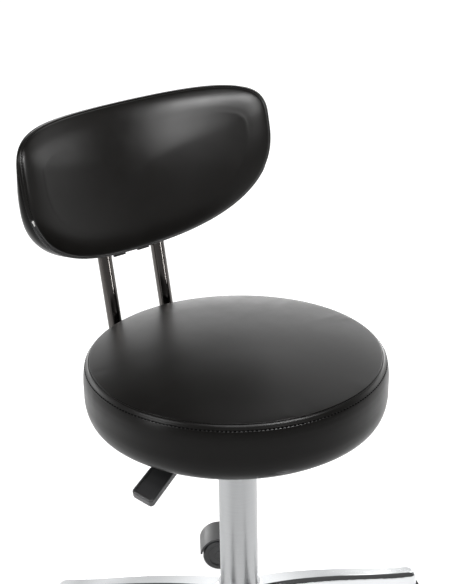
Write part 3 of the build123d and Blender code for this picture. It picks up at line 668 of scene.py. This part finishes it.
def back_grid(cols, counts):
    """Rows from the front centre round the edge to the rear centre, with their positions."""
    phi = even_angles(cols)
    steps = [[(i + 1) / n for i in range(n)] for n in counts]
    rows = []
    u_in, v_in = back_outline(phi, FRONT_IN)
    for q in steps[0]:
        v = BACK_MID_V + (v_in - BACK_MID_V) * q
        rows.append(to_space(u_in * q, v, np.full(cols, FRONT_W) - FRONT_DOME * (1 - q**2.0)))
    s = path_length(FRONT_EDGE)
    rows += edge_rows(phi, (s, FRONT_EDGE), steps[1], s[-1])
    rows += edge_rows(phi, ([0, 1, 2], BAND_EDGE), steps[2], 2)
    band_in, band_w = BAND_EDGE[-1]
    for q in steps[3]:
        turn = q * math.pi / 2
        inset = band_in * (1 - q) + REAR_EDGE_IN * (1 - math.cos(turn))
        u, v = back_outline(phi, inset)
        rows.append(to_space(u, v, band_w + (rear_depth(u, v) - band_w) * math.sin(turn) ** 0.85))
    u_in, v_in = back_outline(phi, REAR_EDGE_IN)
    for step in steps[4]:
        q = 1 - step * REAR_CLOSE
        u = u_in * q
        v = BACK_MID_V + (v_in - BACK_MID_V) * q
        rows.append(to_space(u, v, rear_depth(u, v)))
    pos = [part + q for part, qs in enumerate(steps) for q in qs]
    return np.array(rows), np.array(pos), phi


BACK_COLS, BACK_COARSE_COLS = 560, 128
FRONT_ROWS, FRONT_EDGE_ROWS, BACK_BAND_ROWS = 46, 34, 14
CLOTH_SHARE = 0.30
b_dense, b_dpos, phi_dense = back_grid(
    BACK_COLS, (FRONT_ROWS, FRONT_EDGE_ROWS, BACK_BAND_ROWS, 30, 34)
)
b_inner = BACK_C + REAR_DIR * 0.008 + UP_DIR * BACK_MID_V
b_normals = surface_normals(b_dense, b_inner)
front_fall = np.where(b_dpos < 1, 1 - 0.5 * b_dpos**2, 0.5 * np.clip(2 - b_dpos, 0, 1))
rear_rise = np.where(b_dpos <= 3, 0, REAR_PUFF * np.clip((b_dpos - 3.4) / 1.2, 0, 1))
b_lift = np.where(b_dpos <= 2, FRONT_PUFF * front_fall, rear_rise)[:, None]
b_coarse, b_cpos, _ = back_grid(BACK_COARSE_COLS, (12, 7, 2, 7, 9))
pins = [i for i, p in enumerate(b_cpos) if 1.99 < p < 3.01 or 3.9 < p < 4.05]
raw = inflate(b_coarse, pins, pressure=40.0, frames=16, shrink=0.02)
lift = outward_lift(raw, b_cpos, b_normals, b_dpos, soften_to=1.9)
# the lift set above is the pad's fullness; the cloth gives how it varies round the pad
b_lift = b_lift + (lift - lift.mean(axis=1, keepdims=True)) * CLOTH_SHARE
b_pts = b_dense + b_normals * b_lift[:, :, None]

b_run = path_length(b_dense[:, 0])
row_a = FRONT_ROWS + FRONT_EDGE_ROWS - 1
run_a, run_b = b_run[row_a], b_run[row_a + BACK_BAND_ROWS]
b_fade = np.clip(b_dpos / 0.8, 0, 1) * np.clip((5 - b_dpos) / 0.8, 0, 1)
b_wave = noise_field((len(b_dpos), BACK_COLS), 23) * BACK_WAVE * (b_fade**2)[:, None]
b_carve = groove(b_run, run_a, *FRONT_GROOVE) + groove(b_run, run_b, *REAR_GROOVE)
b_shift = b_wave * np.clip(np.abs(b_dpos - 2.5) - 0.5, 0, 1)[:, None] - b_carve[:, None]
b_pts = b_pts + b_normals * b_shift[:, :, None]
back_cushion = capped_grid("back_cushion", b_pts)
back_cushion.data.materials.append(MAT["black_leatherette"])
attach(back_cushion, "seat")
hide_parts("back_cover", "back_foam", "back_board", "back_rear_shell")
b_final_n = surface_normals(b_pts, b_inner)
line, nrm = row_line(b_pts, b_final_n, b_run, run_a + 0.0002)
stitches("back_stitch_front", line, nrm, pitch=0.0038, length=0.0026, radius=0.00028)
line, nrm = row_line(b_pts, b_final_n, b_run, run_b)
stitches("back_stitch_rear", line, nrm, pitch=0.0038, length=0.0026, radius=0.00030)

# =====================================================================================
# Zip along the lower edge of the pad, from the lower left corner to the right
# =====================================================================================
ZIP_RUN = run_a + 0.0016
ZIP_START, ZIP_STOP = math.radians(195), math.radians(338)
TAPE_OFFSET, TAPE_HALF, TAPE_HEIGHT = 0.0014, 0.0011, 0.00055
zip_cols = [j for j in range(BACK_COLS) if ZIP_START <= phi_dense[j] % TURN <= ZIP_STOP]


def swept_strip(name, line, normals, half_width, height):
    """Rounded open strip along a line, lying on its surface and tapered at both ends."""
    sides, taper_rings = 6, 3
    n, verts = len(line), []
    for i in range(n):
        t = unit(line[min(i + 1, n - 1)] - line[max(i - 1, 0)])
        up_dir = unit(normals[i])
        side_dir = np.cross(t, up_dir)
        taper = min(1.0, min(i, n - 1 - i) / taper_rings + 0.25)
        for k in range(sides):
            a = TURN * k / sides
            across = side_dir * half_width * math.cos(a) * taper
            verts.append(line[i] + across + up_dir * height * math.sin(a) * taper)
    return mesh_object(name, verts, tube_faces(n, sides))


def finish_zip_part(piece, slot):
    """Gives a part of the zip its material, and lets it ride with the seat."""
    piece.data.materials.append(MAT[slot])
    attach(piece, "seat")


for label, offset in (("upper", -TAPE_OFFSET), ("lower", TAPE_OFFSET)):
    line, nrm = row_line(b_pts, b_final_n, b_run, ZIP_RUN + offset)
    line, nrm = line[zip_cols], nrm[zip_cols]
    tape = swept_strip("zip_tape_" + label, line + nrm * 0.00015, nrm, TAPE_HALF, TAPE_HEIGHT)
    finish_zip_part(tape, "black_cloth")
line, nrm = row_line(b_pts, b_final_n, b_run, ZIP_RUN)
zip_line, zip_nrm = line[zip_cols], nrm[zip_cols]


def zip_teeth(name):
    """Interlocked teeth: small blocks alternating across the zip's middle line."""
    pitch, step = 0.0016, 1e-4
    half_length, half_width, half_height = 0.00055, 0.0008, 0.00045
    stagger, stand = 0.00025, 0.0001
    corners = [(x, y, z) for z in (-1, 1) for y in (-1, 1) for x in (-1, 1)]
    sides = ((0, 2, 3, 1), (4, 5, 7, 6), (0, 1, 5, 4), (2, 6, 7, 3), (0, 4, 6, 2), (1, 3, 7, 5))
    s = path_length(zip_line)
    verts, faces = [], []
    for i, d in enumerate(np.arange(pitch, s[-1] - pitch, pitch)):
        p = read_at(d, s, zip_line)
        out = unit(read_at(d, s, zip_nrm))
        t = unit(read_at(d + step, s, zip_line) - p)
        across = np.cross(t, out)
        c = p + across * (stagger if i % 2 else -stagger) + out * stand
        faces += [tuple(len(verts) + k for k in f) for f in sides]
        for x, y, z in corners:
            squeeze = 1.0 if z < 0 else 0.75
            in_plane = t * x * half_length * squeeze + across * y * half_width * squeeze
            verts.append(c + in_plane + out * z * half_height)
    return mesh_object(name, verts, faces, smooth=False)


finish_zip_part(zip_teeth("zip_teeth"), "black_plastic")


def rounded_block(name, centre, axes, half, bevel):
    """Small bevelled block placed by its three axes."""
    bm = bmesh.new()
    bmesh.ops.create_cube(bm, size=2.0)
    bmesh.ops.scale(bm, vec=half, verts=bm.verts)
    bmesh.ops.bevel(bm, geom=bm.edges[:], offset=bevel, segments=3, profile=0.6, affect="EDGES")
    turn = Matrix([[float(axes[c][r]) for c in range(3)] for r in range(3)]).to_4x4()
    bm.transform(Matrix.Translation([float(c) for c in centre]) @ turn)
    me = bpy.data.meshes.new(name)
    bm.to_mesh(me)
    bm.free()
    me.shade_smooth()
    return add_object(name, me)


zip_up = unit(zip_nrm[2])
zip_along = unit(zip_line[4] - zip_line[1])
zip_axes = (zip_along, np.cross(zip_up, zip_along), zip_up)
slider_at = zip_line[2] + zip_up * 0.0008
pull_at = zip_line[2] + zip_up * 0.0011 + zip_along * 0.0030
slider = rounded_block("zip_slider", slider_at, zip_axes, (0.0016, 0.0012, 0.0006), 0.0004)
pull = rounded_block("zip_pull", pull_at, zip_axes, (0.0028, 0.0008, 0.0003), 0.0002)
for piece in (slider, pull):
    finish_zip_part(piece, "zinc_steel")

# =====================================================================================
# Floor and light
# =====================================================================================
AWAY = (0.55, 0.83, 0.0)  # level direction from the photograph's viewpoint to the rear
FLOOR_REACH, FLOOR_Z = 40.0, -0.0005


def fade_along_away(nt, source, low, high):
    """Smooth 0 to 1 step of a position along AWAY, between two distances."""
    dot = nt.nodes.new("ShaderNodeVectorMath")
    dot.operation = "DOT_PRODUCT"
    dot.inputs[1].default_value = AWAY
    nt.links.new(source, dot.inputs[0])
    fade = nt.nodes.new("ShaderNodeMapRange")
    fade.interpolation_type = "SMOOTHSTEP"
    fade.inputs["From Min"].default_value = low
    fade.inputs["From Max"].default_value = high
    nt.links.new(dot.outputs["Value"], fade.inputs["Value"])
    return fade


corners = ((-1, -1), (1, -1), (1, 1), (-1, 1))
floor_points = [(x * FLOOR_REACH, y * FLOOR_REACH, FLOOR_Z) for x, y in corners]
floor = mesh_object("floor", floor_points, [(0, 1, 2, 3)], smooth=False)
floor_mat, fnt, fb = new_material("floor", (0.38, 0.38, 0.38), metallic=0.0, rough=0.7)
# The floor glows with painted light: its emission is weaker toward the front and stronger toward
# the rear, along AWAY.
fb.inputs["Emission Color"].default_value = (1, 1, 1, 1)
floor_tc = fnt.nodes.new("ShaderNodeTexCoord")
floor_glow_fade = fade_along_away(fnt, floor_tc.outputs["Object"], -0.55, 0.15)
floor_glow_fade.inputs["To Min"].default_value = 0.30
floor_glow_fade.inputs["To Max"].default_value = 0.85
fnt.links.new(floor_glow_fade.outputs["Result"], fb.inputs["Emission Strength"])
drive(fnt, fb, "Base Color", add_noise(fnt, 0.8, 2.0), 0.372, 0.388)
floor.data.materials.append(floor_mat)

bpy.context.scene.view_settings.view_transform = "Standard"


def studio_world():
    """Bright sweep low at the rear, falling to a dim room above and toward the front."""
    stops = (
        (0.0, 1.5), (0.14, 1.25), (0.25, 0.60), (0.40, 0.235), (0.545, 0.47), (0.60, 0.05),
        (1.0, 0.02),
    )
    w = bpy.data.worlds.new("world")
    w.use_nodes = True
    nt = w.node_tree
    tc = nt.nodes.new("ShaderNodeTexCoord")
    sep = nt.nodes.new("ShaderNodeSeparateXYZ")
    nt.links.new(tc.outputs["Generated"], sep.inputs["Vector"])
    ramp = nt.nodes.new("ShaderNodeValToRGB")
    els = ramp.color_ramp.elements
    while len(els) < len(stops):
        els.new(0.5)
    for el, (at, val) in zip(els, stops):
        el.position = at
        el.color = (val, val, val, 1)
    nt.links.new(sep.outputs["Z"], ramp.inputs["Fac"])
    side = fade_along_away(nt, tc.outputs["Generated"], -0.1, 0.7)
    mix = nt.nodes.new("ShaderNodeMix")
    mix.data_type = "RGBA"
    nt.links.new(side.outputs["Result"], mix.inputs["Factor"])
    mix.inputs[6].default_value = (0.03, 0.03, 0.03, 1)  # colour A: the dim front
    nt.links.new(ramp.outputs["Color"], mix.inputs[7])  # colour B: the rear
    nt.links.new(mix.outputs[2], nt.nodes["Background"].inputs["Color"])
    nt.nodes["Background"].inputs["Strength"].default_value = 4.0
    bpy.context.scene.world = w


def area_light(name, pos, target, size, size_y, power):
    """Rectangular soft light at pos, facing target."""
    data = bpy.data.lights.new(name, "AREA")
    data.shape = "RECTANGLE"
    data.size, data.size_y = size, size_y
    data.energy = power
    ob = add_object(name, data)
    ob.location = pos
    ob.rotation_euler = (Vector(target) - Vector(pos)).to_track_quat("-Z", "Y").to_euler()
    return ob


studio_world()
LIGHTS = (
    ("overhead", (-0.5, -0.7, 2.8), (0.0, 0.1, 0.3), 1.3, 1.0, 32),
    ("front_softbox", (0.36, -1.75, 1.46), (0.05, 0.19, 0.69), 0.85, 1.0, 46),
    ("right_front_softbox", (1.75, -0.45, 1.02), (-0.18, 0.17, 0.70), 0.45, 0.6, 3),
    ("tube_strip", (0.95, -1.85, 0.62), (0.0, 0.2, 0.56), 0.10, 0.7, 9),
    ("band_left_softbox", (-1.54, 0.30, 1.58), (-0.17, -0.07, 0.47), 0.6, 0.45, 17),
    ("band_right_softbox", (0.10, -1.30, 1.95), (-0.07, -0.17, 0.46), 0.7, 0.45, 60),
    ("above_camera", (-0.96, -1.15, 2.05), (-0.10, -0.15, 0.47), 0.6, 0.4, 14),
    ("left_strip", (-2.1, 0.2, 0.75), (0.0, 0.1, 0.6), 0.35, 1.2, 10),
    ("right_strip", (2.0, 0.9, 0.8), (0.0, 0.1, 0.45), 0.4, 1.4, 10),
)
lamps = {row[0]: area_light(*row) for row in LIGHTS}

# The softboxes made for the backrest light only the pad and its two tubes, and the strip
# lights only the tubes.
tubes = (NODES["back_tube_left"], NODES["back_tube_right"])
for group_name, light_names, receivers in (
    ("pad_receivers", ("front_softbox", "right_front_softbox"), (back_cushion, *tubes)),
    ("tube_receivers", ("tube_strip",), tubes),
):
    group = bpy.data.collections.new(group_name)
    for ob in receivers:
        group.objects.link(ob)
    for light_name in light_names:
        lamps[light_name].light_linking.receiver_collection = group
